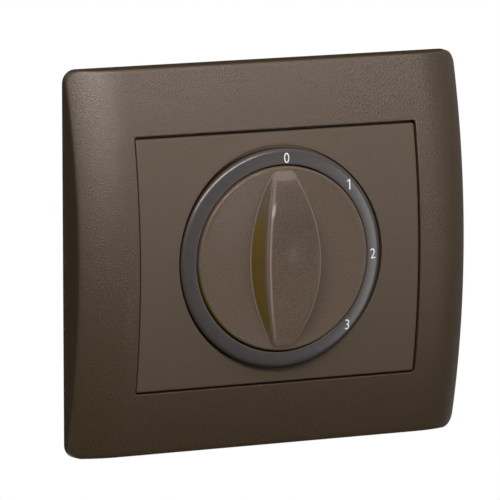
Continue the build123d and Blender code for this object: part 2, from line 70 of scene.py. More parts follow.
print("pieces loaded:", len(nodes))

# %% [markdown]
# The photograph was taken from the left and a little above, through a long lens from more than a metre
# away. A camera could be placed by eye. Here its angles, distance and lens come from fitting the outlines
# of the frame, the ring and the knob to the picture, so that every piece falls where the photograph has it.

# %% Camera
FROM_LEFT, FROM_ABOVE, TILT = (math.radians(angle) for angle in (25.467, 8.638, -0.053))
DISTANCE, CLIP_END = 1.2201, 20
LENS, SENSOR = 415.39, 36
AIM = Vector((-2.226, 0, 0.395)) * mm
ahead = Vector((math.sin(FROM_LEFT) * math.cos(FROM_ABOVE),
                math.cos(FROM_LEFT) * math.cos(FROM_ABOVE),
                -math.sin(FROM_ABOVE)))
bpy.ops.object.camera_add(location=AIM - ahead * DISTANCE)
camera = bpy.context.object
camera.name = "camera"
level = ahead.to_track_quat("-Z", "Y").to_matrix()
camera.rotation_euler = (level @ Matrix.Rotation(TILT, 3, "Z")).to_euler()
camera.data.sensor_width = SENSOR
camera.data.lens = LENS
camera.data.clip_end = CLIP_END
bpy.context.scene.camera = camera
bpy.context.scene.view_settings.view_transform = "Standard"
print("camera stands", DISTANCE, "m away")

# %% [markdown]
# A product photograph has a bright backdrop behind the object. A white wall could be built, but it would
# also throw light on the switch from behind. The world does it by a rule instead: a ray from the camera
# finds white, and so does a mirrored ray that leaves towards the back.

# %% World: the white backdrop
BACKDROP_START, BACKDROP_END = 0.1, 0.6
world = bpy.data.worlds.new("studio")
bpy.context.scene.world = world
world.use_nodes = True
air = world.node_tree


def maths(tree, operation, first, second):
    """Combine two values in a tree of nodes."""
    node = tree.nodes.new("ShaderNodeMath")
    node.operation = operation
    tree.links.new(first, node.inputs[0])
    tree.links.new(second, node.inputs[1])
    return node.outputs[0]


def ramp(tree, value, start, end, low, high, course="SMOOTHSTEP"):
    """Map a value between start and end to a range from low to high in a tree of nodes."""
    node = tree.nodes.new("ShaderNodeMapRange")
    node.interpolation_type = course
    node.inputs["From Min"].default_value = start
    node.inputs["From Max"].default_value = end
    node.inputs["To Min"].default_value = low
    node.inputs["To Max"].default_value = high
    tree.links.new(value, node.inputs["Value"])
    return node.outputs["Result"]


rays = air.nodes.new("ShaderNodeLightPath")
axes = air.nodes.new("ShaderNodeSeparateXYZ")
air.links.new(air.nodes.new("ShaderNodeTexCoord").outputs["Generated"], axes.inputs[0])
mirrored = maths(air, "MAXIMUM", rays.outputs["Is Glossy Ray"], rays.outputs["Is Transmission Ray"])
behind = ramp(air, axes.outputs["Y"], BACKDROP_START, BACKDROP_END, 0, 1, "LINEAR")
white = maths(air, "MAXIMUM", rays.outputs["Is Camera Ray"], maths(air, "MULTIPLY", mirrored, behind))
print("world nodes for the backdrop:", len(air.nodes))

# %% [markdown]
# All other rays find a dim room. An even light would make the crowned frame look flat, so this light grows
# from the floor to the ceiling, and behind the wall plane it is weaker than in front.

# %% World: the dim room
FLOOR_LIGHT, CEILING_LIGHT = 0.02, 0.66
LIGHT_FOOT, LIGHT_TOP = -0.4, 0.8
FRONT_SHARE, BACK_SHARE = 1.0, 0.3
FRONT_END, BACK_END = -0.3, 0.3
upward = ramp(air, axes.outputs["Z"], LIGHT_FOOT, LIGHT_TOP, FLOOR_LIGHT, CEILING_LIGHT)
backward = ramp(air, axes.outputs["Y"], FRONT_END, BACK_END, FRONT_SHARE, BACK_SHARE)
strength = air.nodes.new("ShaderNodeMapRange")
strength.inputs["To Max"].default_value = 1.0
air.links.new(maths(air, "MULTIPLY", upward, backward), strength.inputs["To Min"])
air.links.new(white, strength.inputs["Value"])
background = air.nodes["Background"]
background.inputs["Color"].default_value = (1, 1, 1, 1)
air.links.new(strength.outputs["Result"], background.inputs["Strength"])
print("world nodes in all:", len(air.nodes))

# %% [markdown]
# A pale round floor lies far below the switch, out of the photograph's view, for views from higher up. A
# plain disc would show its border against the white, so it glows a little for the camera, most at its rim,
# where it melts into the backdrop. The switch itself neither mirrors it nor takes light from it.

# %% Floor
FLOOR_RADIUS, FLOOR_LEVEL, FLOOR_SIDES = 1.9, -0.45, 128
FADE_START, FADE_END = 0.3 * FLOOR_RADIUS, 0.95 * FLOOR_RADIUS
MIDDLE_GLOW, RIM_GLOW = 0.55, 1.0
PAPER_WHITE = (0.8, 0.8, 0.8)


def clear_selection():
    """Leave nothing selected, so that the next tool works on its own piece only."""
    bpy.ops.object.select_all(action="DESELECT")


def plain_material(name, colour):
    """Make a dull material for the studio."""
    material = bpy.data.materials.new(name)
    material.use_nodes = True
    shader = material.node_tree.nodes["Principled BSDF"]
    shader.inputs["Base Color"].default_value = (*colour, 1)
    shader.inputs["Roughness"].default_value = 1.0
    shader.inputs["Specular IOR Level"].default_value = 0.0
    return material


clear_selection()
bpy.ops.mesh.primitive_circle_add(vertices=FLOOR_SIDES, radius=FLOOR_RADIUS, fill_type="NGON",
                                  location=(0, 0, FLOOR_LEVEL))
floor = bpy.context.object
floor.name = "floor"
paper = plain_material("floor_paper", PAPER_WHITE)
sheet = paper.node_tree
from_middle = sheet.nodes.new("ShaderNodeVectorMath")
from_middle.operation = "LENGTH"
sheet.links.new(sheet.nodes.new("ShaderNodeTexCoord").outputs["Object"], from_middle.inputs[0])
fade = ramp(sheet, from_middle.outputs["Value"], FADE_START, FADE_END, MIDDLE_GLOW, RIM_GLOW)
seen = sheet.nodes.new("ShaderNodeLightPath").outputs["Is Camera Ray"]
paper_shader = sheet.nodes["Principled BSDF"]
paper_shader.inputs["Emission Color"].default_value = (1, 1, 1, 1)
sheet.links.new(maths(sheet, "MULTIPLY", fade, seen), paper_shader.inputs["Emission Strength"])
floor.data.materials.append(paper)
floor.visible_diffuse = False
floor.visible_glossy = False
print("floor lies", -FLOOR_LEVEL, "m below the knob")

# %% [markdown]
# The walls of a lacquered frame mirror what stands beside and behind them, and that is all white here. The
# walls could be painted darker, but then they would be too dark from every other side. Two dark cards do
# what they do in a photographer's studio: the walls mirror them, and the camera doesn't see them.

# %% Dark cards
CARD_SIZE, CARD_COLOUR = 0.7, (0.02, 0.018, 0.015)


def dark_card(name, place, target):
    """Stand a dark card outside the picture, facing a target on the switch."""
    clear_selection()
    bpy.ops.mesh.primitive_plane_add(size=CARD_SIZE, location=place)
    card = bpy.context.object
    card.name = name
    card.rotation_euler = (Vector(target) - Vector(place)).to_track_quat("Z", "Y").to_euler()
    card.data.materials.append(plain_material(name, CARD_COLOUR))
    card.visible_camera = False
    card.visible_shadow = False
    card.visible_diffuse = False
    print(name, "stands at", place)


dark_card("left_card", place=(-0.30, 0.42, -0.06), target=(-0.045, 0, 0))
dark_card("top_card", place=(0.16, 0.42, 0.30), target=(0, 0, 0.04))

# %% [markdown]
# One broad soft lamp stands in front, to the left and above. A lacquer throws most of its light back near
# the mirror direction, so this lamp brightens the top of the crowned frame and leaves its foot and side
# walls dark. Three weaker lamps at the sides give the faces that turn away their softer lights. The last
# one stands behind the wall plane, for views of the back.

# %% Lamps
def soft_lamp(name, turn, rise, away, width, height, watts):
    """Add a soft lamp at angles from the front, pointing at the middle of the switch."""
    turn, rise = math.radians(turn), math.radians(rise)
    place = Vector((math.sin(turn) * math.cos(rise), -math.cos(turn) * math.cos(rise), math.sin(rise))) * away
    bpy.ops.object.light_add(type="AREA", location=place)
    lamp = bpy.context.object
    lamp.name = name
    lamp.data.shape = "RECTANGLE"
    lamp.data.size = width
    lamp.data.size_y = height
    lamp.data.energy = watts
    lamp.rotation_euler = (-place).to_track_quat("-Z", "Y").to_euler()
    print(name, "gives", watts, "W")


soft_lamp("key_lamp", turn=-17, rise=36, away=1.0, width=1.1, height=0.18, watts=10.7)
soft_lamp("left_strip", turn=-33, rise=6, away=1.0, width=0.05, height=0.2, watts=0.1)
soft_lamp("right_panel", turn=38, rise=-8, away=1.0, width=0.10, height=0.40, watts=0.72)
soft_lamp("thin_strip", turn=24.5, rise=-3, away=1.0, width=0.03, height=0.18, watts=0.05)
soft_lamp("rear_lamp", turn=180, rise=0, away=1.2, width=0.3, height=0.3, watts=4.5)

# %% [markdown]
# Every finish on the switch is a material made of nodes. Pictures could carry the finishes, but noise in
# the piece's own coordinates needs no unwrapping and has a true size in millimetres. A small class keeps
# the nodes out of sight: each of its methods adds one thing to the shader.

# %% Paint
class Paint:
    """A material with a principled shader and short ways to add nodes."""

    def __init__(self, name, colour, metallic=0.0, roughness=0.5, specular=0.5):
        self.material = bpy.data.materials.new(name)
        self.material.use_nodes = True
        self.tree = self.material.node_tree
        self.shader = self.tree.nodes["Principled BSDF"]
        self.place = self.tree.nodes.new("ShaderNodeTexCoord").outputs["Object"]
        self.fix("Base Color", (*colour, 1))
        self.fix("Metallic", metallic)
        self.fix("Roughness", roughness)
        self.fix("Specular IOR Level", specular)

    def fix(self, socket, value):
        """Give one input of the shader a constant."""
        self.shader.inputs[socket].default_value = value

    def noise(self, size, detail=2.0):
        """Noise whose blotches are about this many millimetres across."""
        node = self.tree.nodes.new("ShaderNodeTexNoise")
        node.inputs["Scale"].default_value = 1 / (size * mm)
        node.inputs["Detail"].default_value = detail
        self.tree.links.new(self.place, node.inputs["Vector"])
        return node.outputs["Fac"]

    def blotches(self, size, low=0.0, high=1.0, detail=2.0):
        """Noise that fills a range of numbers. Most of a noise lies between 0.3 and 0.7."""
        return ramp(self.tree, self.noise(size, detail), 0.3, 0.7, low, high, "LINEAR")

    def cover(self, value, colour):
        """Blend a colour over the base colour by a value, and return the socket for what lies under it."""
        node = self.tree.nodes.new("ShaderNodeMix")
        node.data_type = "RGBA"
        node.inputs["B"].default_value = (*colour, 1)
        self.tree.links.new(value, node.inputs["Factor"])
        self.tree.links.new(node.outputs["Result"], self.shader.inputs["Base Color"])
        return node.inputs["A"]

    def tint(self, value, dark, light):
        """Blend two base colours by a value from 0 to 1."""
        self.cover(value, light).default_value = (*dark, 1)

    def scuff(self, size, smooth, rough):
        """Let the roughness change between two values in blotches of this size."""
        self.tree.links.new(self.blotches(size, smooth, rough), self.shader.inputs["Roughness"])

    def bump(self, value, depth):
        """Raise the surface by a value, up to this many millimetres."""
        node = self.tree.nodes.new("ShaderNodeBump")
        node.inputs["Distance"].default_value = depth * mm
        self.tree.links.new(value, node.inputs["Height"])
        self.tree.links.new(node.outputs["Normal"], self.shader.inputs["Normal"])


print("paint is ready to mix")

# %% [markdown]
# Some tones belong to one place on a piece: painted shade in the gaps, a painted gold reflection on the
# grip's flanks, painted light and shade along it and painted highlights on its edges. Separate materials
# would meet in hard borders. Here a number is painted on every vertex, which fades from one to the next,
# and these helpers let a material read it by its name.

# %% Painted values
def painted(paint, name):
    """The value that is painted on the mesh under this name."""
    node = paint.tree.nodes.new("ShaderNodeAttribute")
    node.attribute_name = name
    return node.outputs["Fac"]


def base_colour(paint):
    """What feeds the base colour of a paint so far."""
    return paint.shader.inputs["Base Color"].links[0].from_socket


def stain(paint, name, colour):
    """Blend another colour over the base colour where a painted value is high."""
    base = base_colour(paint)
    paint.tree.links.new(base, paint.cover(painted(paint, name), colour))


def lighten(paint, name):
    """Make the base colour lighter where a painted value is above 0 and darker where it is below."""
    base = base_colour(paint)
    node = paint.tree.nodes.new("ShaderNodeHueSaturation")
    brightness = ramp(paint.tree, painted(paint, name), -1, 2, 0, 3, "LINEAR")
    paint.tree.links.new(brightness, node.inputs["Value"])
    paint.tree.links.new(base, node.inputs["Color"])
    paint.tree.links.new(node.outputs["Color"], paint.shader.inputs["Base Color"])


print("painted values can be read")

# %% [markdown]
# Frame, plate and knob are bronze with fine mica flakes. A single colour would look like clay, so a fine
# noise shifts colour and roughness from flake to flake, and a slight bump breaks up the highlights. The
# frame has the liveliest flakes, and the plate is duller. The knob's plastic lets a little light in under a
# thin clear coat. On the knob, painted values add a gold reflection on the flanks, painted light and shade
# along the grip and painted highlights on the edges.

# %% Bronze finishes
MICA_TINT = (1.0, 0.88, 0.83, 1)
SCUFF, SCUFF_GRAIN = 0.06, 1.7
# Gold of the painted reflection on the flanks, and the pale colour of the painted highlights on the edges.
FLANK_GOLD_REFLECTION, PALE_HIGHLIGHT = (0.118, 0.076, 0.005), (0.29, 0.235, 0.20)


def shades(colour, spread):
    """A darker and a lighter version of a colour."""
    return [tuple(part * (1 + sign * spread) for part in colour) for sign in (-1, 1)]


def flaked(name, colour, specular, roughness, grain, spread, depth):
    """Bronze with mica flakes about grain millimetres across."""
    paint = Paint(name, colour, roughness=roughness, specular=specular)
    paint.fix("Specular Tint", MICA_TINT)
    flakes = paint.blotches(grain)
    paint.tint(flakes, *shades(colour, spread))
    paint.scuff(grain * SCUFF_GRAIN, roughness - SCUFF, roughness + SCUFF)
    paint.bump(flakes, depth)
    return paint


frame_lacquer = flaked("frame_lacquer", (0.043, 0.026, 0.010), specular=1.0, roughness=0.43,
                       grain=0.20, spread=0.40, depth=0.032)
plate_lacquer = flaked("plate_lacquer", (0.074, 0.053, 0.034), specular=0.6, roughness=0.58,
                       grain=0.26, spread=0.12, depth=0.015)
knob_bronze = flaked("knob_bronze", (0.113, 0.081, 0.058), specular=0.2, roughness=0.50,
                     grain=0.26, spread=0.32, depth=0.012)
knob_bronze.fix("Coat Weight", 0.3)
knob_bronze.fix("Coat Roughness", 0.09)
knob_bronze.fix("Subsurface Weight", 0.6)
knob_bronze.fix("Subsurface Radius", (1.0, 0.8, 0.5))
knob_bronze.fix("Subsurface Scale", 3.0 * mm)
# Painted reflection: gold on the grip's flanks and the lower rim.
stain(knob_bronze, "painted_flank_reflection", FLANK_GOLD_REFLECTION)
# Painted light and shade: lighter towards the grip's low end, darker towards its top.
lighten(knob_bronze, "end")
# Painted highlights: pale along the grip's edges and ends.
stain(knob_bronze, "painted_highlight", PALE_HIGHLIGHT)
print("bronze finishes for frame, plate and knob")

# %% [markdown]
# The ring is smooth dark grey plastic with white print. Both could be plain colours, but on real plastic
# and ink no two spots are quite alike, so each gets two close tones. The gaps round the plate and the ring
# are too thin for much light to find its way out, and a painted shade in dark brown stands in for what
# would be lost there.

# %% Dial finishes and painted shade in the gaps
# Colour of the painted shade deep in the gaps.
GAP_SHADE_BROWN = (0.030, 0.011, 0.002)
DIAL_GRAIN, INK_GRAIN = 0.4, 0.15
dial_grey = Paint("dial_grey", (0.054, 0.046, 0.044), roughness=0.24, specular=0.6)
dial_grey.tint(dial_grey.blotches(DIAL_GRAIN), (0.050, 0.043, 0.041), (0.058, 0.050, 0.047))
dial_grey.scuff(DIAL_GRAIN, 0.22, 0.27)
# Painted shade: frame, plate and ring turn dark brown deep in the gaps.
for paint in (frame_lacquer, plate_lacquer, dial_grey):
    stain(paint, "painted_gap_shade", GAP_SHADE_BROWN)
print_white = Paint("print_white", (0.72, 0.72, 0.70), roughness=0.6)
print_white.tint(print_white.blotches(INK_GRAIN), (0.64, 0.64, 0.62), (0.76, 0.76, 0.74))
print("finishes for ring and print")

# %% [markdown]
# Behind the plate are zinc-plated and spring steel, brass, grey moulded plastic and white acetal. They show
# only from the back, if at all. Plain metals and plastics would do, but slight blotches keep them from
# looking printed. Each solid then takes the finish that its record names.

# %% Finishes behind the plate
zinc = Paint("plated_steel", (0.62, 0.62, 0.60), metallic=1.0, roughness=0.34)
zinc.tint(zinc.blotches(3.0, detail=4), (0.54, 0.54, 0.53), (0.66, 0.66, 0.63))
zinc.scuff(0.8, 0.28, 0.42)
steel = Paint("spring_steel", (0.55, 0.55, 0.56), metallic=1.0, roughness=0.30)
steel.scuff(0.5, 0.24, 0.38)
brass = Paint("contact_brass", (0.72, 0.54, 0.26), metallic=1.0, roughness=0.32)
brass.tint(brass.blotches(2.5, detail=4), (0.60, 0.42, 0.18), (0.74, 0.57, 0.29))
housing = Paint("housing_grey", (0.42, 0.43, 0.44), roughness=0.5)
housing.tint(housing.blotches(5.0, detail=3), (0.40, 0.41, 0.42), (0.44, 0.45, 0.46))
housing.bump(housing.noise(0.25), 0.01)
acetal = Paint("cam_white", (0.78, 0.77, 0.73), roughness=0.42)
acetal.tint(acetal.blotches(3.0), (0.74, 0.73, 0.69), (0.80, 0.79, 0.75))

finishes = {"frame_lacquer": frame_lacquer, "plate_lacquer": plate_lacquer, "dial_grey": dial_grey,
            "knob_bronze": knob_bronze, "spring_steel": steel, "plated_steel": zinc,
            "housing_grey": housing, "cam_white": acetal, "contact_brass": brass}
for part in frame["record"]["subparts"]:
    mesh = nodes[part["node"]].data
    mesh.materials.clear()
    mesh.materials.append(finishes[part["material_slot"]].material)
print("materials:", len(bpy.data.materials))

# %% [markdown]
# Most of the shapes here are skins over closed lines, the way a boat's skin lies over its ribs. A block
# with cut and rounded edges could come close, but it can't follow a face that bends both ways. Every line
# has the same number of points, starting at the top and going clockwise, so that each can be joined to the
# next one.

# %% Closed lines
POINTS = 192
TOP_STEPS, CORNER_STEPS = 22, 8
SIDE_STEPS = POINTS // 4 - TOP_STEPS - CORNER_STEPS


def quarter_turns(steps):
    """Angles from 0 to 90 degrees, in equal steps."""
    return [math.pi / 2 * step / steps for step in range(steps + 1)]


def circle_line(radius):
    """Points of a circle round the knob axis, as seen from the front."""
    angles = [2 * math.pi * step / POINTS for step in range(POINTS)]
    return [(radius * math.sin(angle), radius * math.cos(angle)) for angle in angles]


def rounded_line(width, height, corner, lower=0.0):
    """Points of a rounded rectangle, as seen from the front."""
    half_w, half_h = width / 2 - corner, height / 2 - corner
    quarter = [(half_w * step / TOP_STEPS, height / 2) for step in range(TOP_STEPS)]
    quarter += [(half_w + corner * math.sin(turn), half_h + corner * math.cos(turn))
                for turn in quarter_turns(CORNER_STEPS)]
    quarter += [(width / 2, half_h * (1 - step / SIDE_STEPS)) for step in range(1, SIDE_STEPS)]
    right = quarter + [(width / 2, 0.0)] + [(x, -z) for x, z in quarter[:0:-1]]
    whole = right + [(0.0, -height / 2)] + [(-x, z) for x, z in right[:0:-1]]
    return [(x, z - lower) for x, z in whole]


def between(first, second, share):
    """Points on the way from one line to another."""
    return [(a + (c - a) * share, b + (d - b) * share) for (a, b), (c, d) in zip(first, second)]


def at_depth(line, depth):
    """Give a line its depth in front of the wall: a number, or a rule from x and z."""
    return [(x, -(depth(x, z) if callable(depth) else depth), z) for x, z in line]


print("points on each line:", len(circle_line(1.0)), len(rounded_line(2.0, 2.0, 0.5)))

# %% [markdown]
# A skin starts as a circle that is pulled into the shape of the first line. Its edges are then extruded,
# and the new ones are moved to the next line, again and again. Bridging loose loops would do the same, but
# this way no loop can be joined with a twist.

# %% Skins over lines
MERGE = 0.001 * mm


def places(points):
    """A quick way to find which point of a line is nearest."""
    tree = KDTree(len(points))
    for number, point in enumerate(points):
        tree.insert(Vector(point) * mm, number)
    tree.balance()
    return tree


def skin(name, lines, closed=False):
    """Draw the first line, then extrude it from line to line. A closed skin ends where it began."""
    clear_selection()
    bpy.ops.mesh.primitive_circle_add(vertices=POINTS, radius=mm)
    piece = bpy.context.object
    piece.name = piece.data.name = name
    for vertex, point in zip(piece.data.vertices, lines[0]):
        vertex.co = Vector(point) * mm
    bpy.ops.object.mode_set(mode="EDIT")
    bpy.ops.mesh.select_all(action="SELECT")
    stops = lines[1:] + [lines[0]] if closed else lines[1:]
    for before, after in zip(lines, stops):
        bpy.ops.mesh.extrude_edges_move()
        nearest = places(before)
        mesh = bmesh.from_edit_mesh(piece.data)
        for vertex in mesh.verts:
            if vertex.select:
                vertex.co = Vector(after[nearest.find(vertex.co)[1]]) * mm
        bmesh.update_edit_mesh(piece.data)
    bpy.ops.mesh.select_all(action="SELECT")
    bpy.ops.mesh.remove_doubles(threshold=MERGE)
    bpy.ops.object.mode_set(mode="OBJECT")
    print(name, "lies over", len(lines), "lines")
    return piece


# %% [markdown]
# A new piece needs the same last steps each time. Sharp lines are found by their place and bevelled. Values
# are painted on the vertices by a rule. Then all faces are turned outwards and shaded smooth, except across
# corners of more than 35 degrees, and the piece is handed to the body that it moves with.

# %% Edges, painted values and handing over
SMOOTH_ANGLE = math.radians(35)


def pick_line(piece, line):
    """Go to edit mode and select the vertices and edges along one line."""
    bpy.ops.object.mode_set(mode="EDIT")
    bpy.ops.mesh.select_all(action="DESELECT")
    nearest = places(line)
    mesh = bmesh.from_edit_mesh(piece.data)
    for vertex in mesh.verts:
        vertex.select = nearest.find(vertex.co)[2] < MERGE
    mesh.select_flush(True)
    bmesh.update_edit_mesh(piece.data)


def soften(piece, line, width, segments):
    """Round the edge along one line."""
    pick_line(piece, line)
    bpy.ops.mesh.bevel(offset=width * mm, segments=segments, affect="EDGES")
    bpy.ops.object.mode_set(mode="OBJECT")


def paint_value(piece, name, rule):
    """Paint a value on every vertex, from its x, depth and z in millimetres."""
    values = piece.data.attributes.new(name, "FLOAT", "POINT")
    for vertex in piece.data.vertices:
        x, y, z = vertex.co / mm
        values.data[vertex.index].value = max(-1.0, min(rule(x, -y, z), 1.0))


def complete(piece, body, paint, replaced=()):
    """Face all sides outwards, shade the piece smooth and hand it to its body."""
    clear_selection()
    piece.select_set(True)
    bpy.context.view_layer.objects.active = piece
    bpy.ops.object.mode_set(mode="EDIT")
    bpy.ops.mesh.select_all(action="SELECT")
    bpy.ops.mesh.normals_make_consistent(inside=False)
    bpy.ops.object.mode_set(mode="OBJECT")
    bpy.ops.object.shade_smooth_by_angle(angle=SMOOTH_ANGLE)
    piece.vertex_groups.clear()
    piece.data.materials.clear()
    piece.data.materials.append(paint.material)
    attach(piece, body)
    if replaced:
        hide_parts(*replaced)
    print(piece.name, "has", len(piece.data.polygons), "faces")


print("pieces are shaded smooth up to", round(math.degrees(SMOOTH_ANGLE)), "degrees")

# %% [markdown]
# The frame is one moulded shell. Its face bends gently from top to bottom and rolls down at both sides, and
# its walls lean in a little so that it leaves the mould, the top wall less than the others. The face could
# be pulled up by hand, but a rule that gives its depth anywhere serves the plate too, which carries on the
# same bend.

# %% Frame: crown and walls
frame_size = SolidSize("outer_frame")
FRAME_WIDTH, FRAME_HEIGHT, CROWN = 2 * frame_size.reach, frame_size.height, frame_size.front
CROWN_RADIUS, LEAST_DEPTH = 141.0, 0.02
ROLL_START, ROLL = 34.7, 16.628
LEAN, TOP_SHARE = math.tan(math.radians(3)), 0.15


def crown(inset=0.0):
    """Rule for the crowned face, or for a face that far behind it."""
    def depth(x, z):
        over = max(abs(x) - ROLL_START, 0.0)
        arm = CROWN_RADIUS - ROLL + math.sqrt((ROLL - inset) ** 2 - over ** 2)
        return max(CROWN - CROWN_RADIUS + math.sqrt(arm ** 2 - z ** 2), LEAST_DEPTH)
    return depth


def leaning(line, depth, width, height):
    """Move a line in along a leaning wall, as far as its depth asks."""
    moved = []
    for x, z in line:
        inward = depth(x, z) * LEAN
        upright = inward * (TOP_SHARE if z > 0 else 1.0)
        moved.append((x * (1 - inward / (width / 2)), z * (1 - upright / (height / 2))))
    return moved


print("frame is", FRAME_WIDTH, "by", FRAME_HEIGHT, "mm and", CROWN, "mm deep")

# %% [markdown]
# The opening is the plate's outline with a thin gap all round, widest at the top. A ledge inside it carries
# the plate, and a collar stands round it behind the face. Their outlines could be drawn one by one, but
# growing or shrinking the opening's own outline keeps them parallel.

# %% Frame: opening and inside
FRAME_CORNER, FRAME_WALL = 2.9, 2.0
GAP_SIDE, GAP_TOP, GAP_FOOT = 0.32, 0.60, 0.35
LEDGE_REACH, LEDGE_FALL, LEDGE_THICK = 2.3, 1.95, 1.6
OPENING_CORNER, LEDGE_CORNER, COLLAR_CORNER, INSIDE_CORNER = 0.65, 0.3, 0.5, 1.0
plate_size = SolidSize("cover_plate")
PLATE_WIDTH, PLATE_HEIGHT = 2 * plate_size.reach, plate_size.height
OPENING_WIDTH, OPENING_HEIGHT = PLATE_WIDTH + 2 * GAP_SIDE, PLATE_HEIGHT + GAP_TOP + GAP_FOOT


def opening_line(grow, corner):
    """Outline of the opening, grown by some millimetres on every side."""
    return rounded_line(OPENING_WIDTH + 2 * grow, OPENING_HEIGHT + 2 * grow, corner)


outline = rounded_line(FRAME_WIDTH, FRAME_HEIGHT, FRAME_CORNER)
front_edge = leaning(outline, crown(), FRAME_WIDTH, FRAME_HEIGHT)
opening = opening_line(0, OPENING_CORNER)
ledge = opening_line(-LEDGE_REACH, LEDGE_CORNER)
collar = opening_line(FRAME_WALL, COLLAR_CORNER)
inside_width, inside_height = FRAME_WIDTH - 2 * FRAME_WALL, FRAME_HEIGHT - 2 * FRAME_WALL
inside = rounded_line(inside_width, inside_height, INSIDE_CORNER)
inside_edge = leaning(inside, crown(FRAME_WALL), inside_width, inside_height)
print("opening is", round(OPENING_WIDTH, 2), "by", round(OPENING_HEIGHT, 2), "mm")

# %% [markdown]
# The shell could be carved from a block, but a skin follows the bend everywhere: its lines run up the wall,
# over the face, into the opening, round the ledge and back inside. The front edge and the edge of the
# opening are then rounded, the first one more than the second.

# %% Frame: skin
FACE_START, FACE_STEPS, FACE_LAST = 0.08, 13, 0.98
FRONT_ROUND, FRONT_SEGMENTS = 0.45, 4
OPENING_ROUND, OPENING_SEGMENTS = 0.12, 2
ledge_front, ledge_back = crown(LEDGE_FALL), crown(LEDGE_FALL + LEDGE_THICK)
face_shares = [FACE_START + (1 - FACE_START) * step / FACE_STEPS for step in range(FACE_STEPS)] + [FACE_LAST]

frame_lines = [at_depth(outline, 0.0), at_depth(front_edge, crown())]
frame_lines += [at_depth(between(front_edge, opening, share), crown()) for share in face_shares]
frame_lines += [at_depth(opening, crown()), at_depth(opening, ledge_front), at_depth(ledge, ledge_front),
                at_depth(ledge, ledge_back), at_depth(collar, ledge_back)]
frame_lines += [at_depth(between(collar, inside_edge, share), crown(FRAME_WALL))
                for share in (0, 0.25, 0.5, 0.75, 1)]
frame_lines += [at_depth(inside, 0.0)]
outer_frame = skin("frame_shell", frame_lines, closed=True)
soften(outer_frame, at_depth(front_edge, crown()), FRONT_ROUND, FRONT_SEGMENTS)
soften(outer_frame, at_depth(opening, crown()), OPENING_ROUND, OPENING_SEGMENTS)

# %% [markdown]
# Four posts under the face drop into windows of the yoke. They could be pulled out of the shell's inside,
# but nobody sees where they meet it, so they are blocks that run a little way into the face and are joined
# to the shell. Before that, the walls of the opening get painted shade, darker the deeper they lie.

# %% Frame: painted gap shade and posts
FRAME_SHADE_START, FRAME_SHADE_RATE, SHADE_MARGIN = 0.15, 2.0, 0.01
POST_X, POST_Z, POST_WIDTH, POST_HEIGHT = 27.0, 31.32, 5.0, 2.0
POST_FOOT, POST_TOP = 0.4, crown(FRAME_WALL / 2)(0, POST_Z)


def frame_seam(x, depth, z):
    """Painted shade: how deep a point lies in the gap round the plate."""
    beside = abs(x) < OPENING_WIDTH / 2 + SHADE_MARGIN and abs(z) < OPENING_HEIGHT / 2 + SHADE_MARGIN
    return max(crown()(x, z) - depth - FRAME_SHADE_START, 0.0) * FRAME_SHADE_RATE if beside else 0.0


# Painted shade on the walls of the opening, darker deeper in the gap.
paint_value(outer_frame, "painted_gap_shade", frame_seam)
clear_selection()
posts = []
for side in (-1, 1):
    for level in (-1, 1):
        middle = Vector((side * POST_X, -(POST_FOOT + POST_TOP) / 2, level * POST_Z)) * mm
        bpy.ops.mesh.primitive_cube_add(size=mm, location=middle,
                                        scale=(POST_WIDTH, POST_TOP - POST_FOOT, POST_HEIGHT))
        bpy.ops.object.transform_apply(location=True, rotation=True, scale=True)
        posts.append(bpy.context.object)
for piece in posts + [outer_frame]:
    piece.select_set(True)
bpy.context.view_layer.objects.active = outer_frame
bpy.ops.object.join()
complete(outer_frame, "base", frame_lacquer, ["outer_frame"])

# %% [markdown]
# The cover plate fills the opening and carries on the frame's bend, a quarter of a millimetre further back.
# Above and below the dial, where the crown falls away, a soft cove lifts its face to the ring. The cove
# could be a separate collar, but the real plate is one moulding, so both faces are worked out and blended
# where they meet.

# %% Plate: its face
ring_size, knob_size = SolidSize("dial_ring"), SolidSize("knob")
RING_GAP, LAND_WIDTH, COVE_WIDTH, LAND_RISE = 0.32, 0.5, 2.6, 0.05
SEAT_EDGE = ring_size.reach + RING_GAP
LAND_EDGE = SEAT_EDGE + LAND_WIDTH
COVE_FOOT = LAND_EDGE + COVE_WIDTH
BLEND, COVE_HOLLOW = 0.3, 0.2
SWELL, SWELL_RADIUS, SWELL_WIDTH = 0.06, 24.6, 1.3
plate_crown = crown(CROWN - plate_size.front)
foot_depth = plate_crown(0, COVE_FOOT)
cove_rise = ring_size.back + LAND_RISE - foot_depth


def plate_face(x, z):
    """Depth of the plate's face: the crown, with the cove round the dial blended in."""
    radius = math.hypot(x, z)
    low = plate_crown(x, z)
    share = (COVE_FOOT - radius) / COVE_WIDTH
    cove = foot_depth + cove_rise * min((1 - COVE_HOLLOW) * share + COVE_HOLLOW * share * abs(share), 1.0)
    blend = max(BLEND - abs(low - cove), 0.0) ** 2 / (4 * BLEND)
    swell = SWELL * math.exp(-((radius - SWELL_RADIUS) / SWELL_WIDTH) ** 2)
    return max(low, cove) + blend + swell


def behind_face(fall):
    """Rule for a face that far behind the plate's own."""
    return lambda x, z: plate_face(x, z) - fall


print("cove rises", round(cove_rise, 3), "mm")

# %% [markdown]
# The plate's rim is rounded. Its underside follows the frame's ledge with a little play and stays behind
# the ring's seat, and in its middle a round well takes the knob. A solidify modifier could give one
# thickness all over, but then the underside would follow the cove too, so it has a rule of its own.

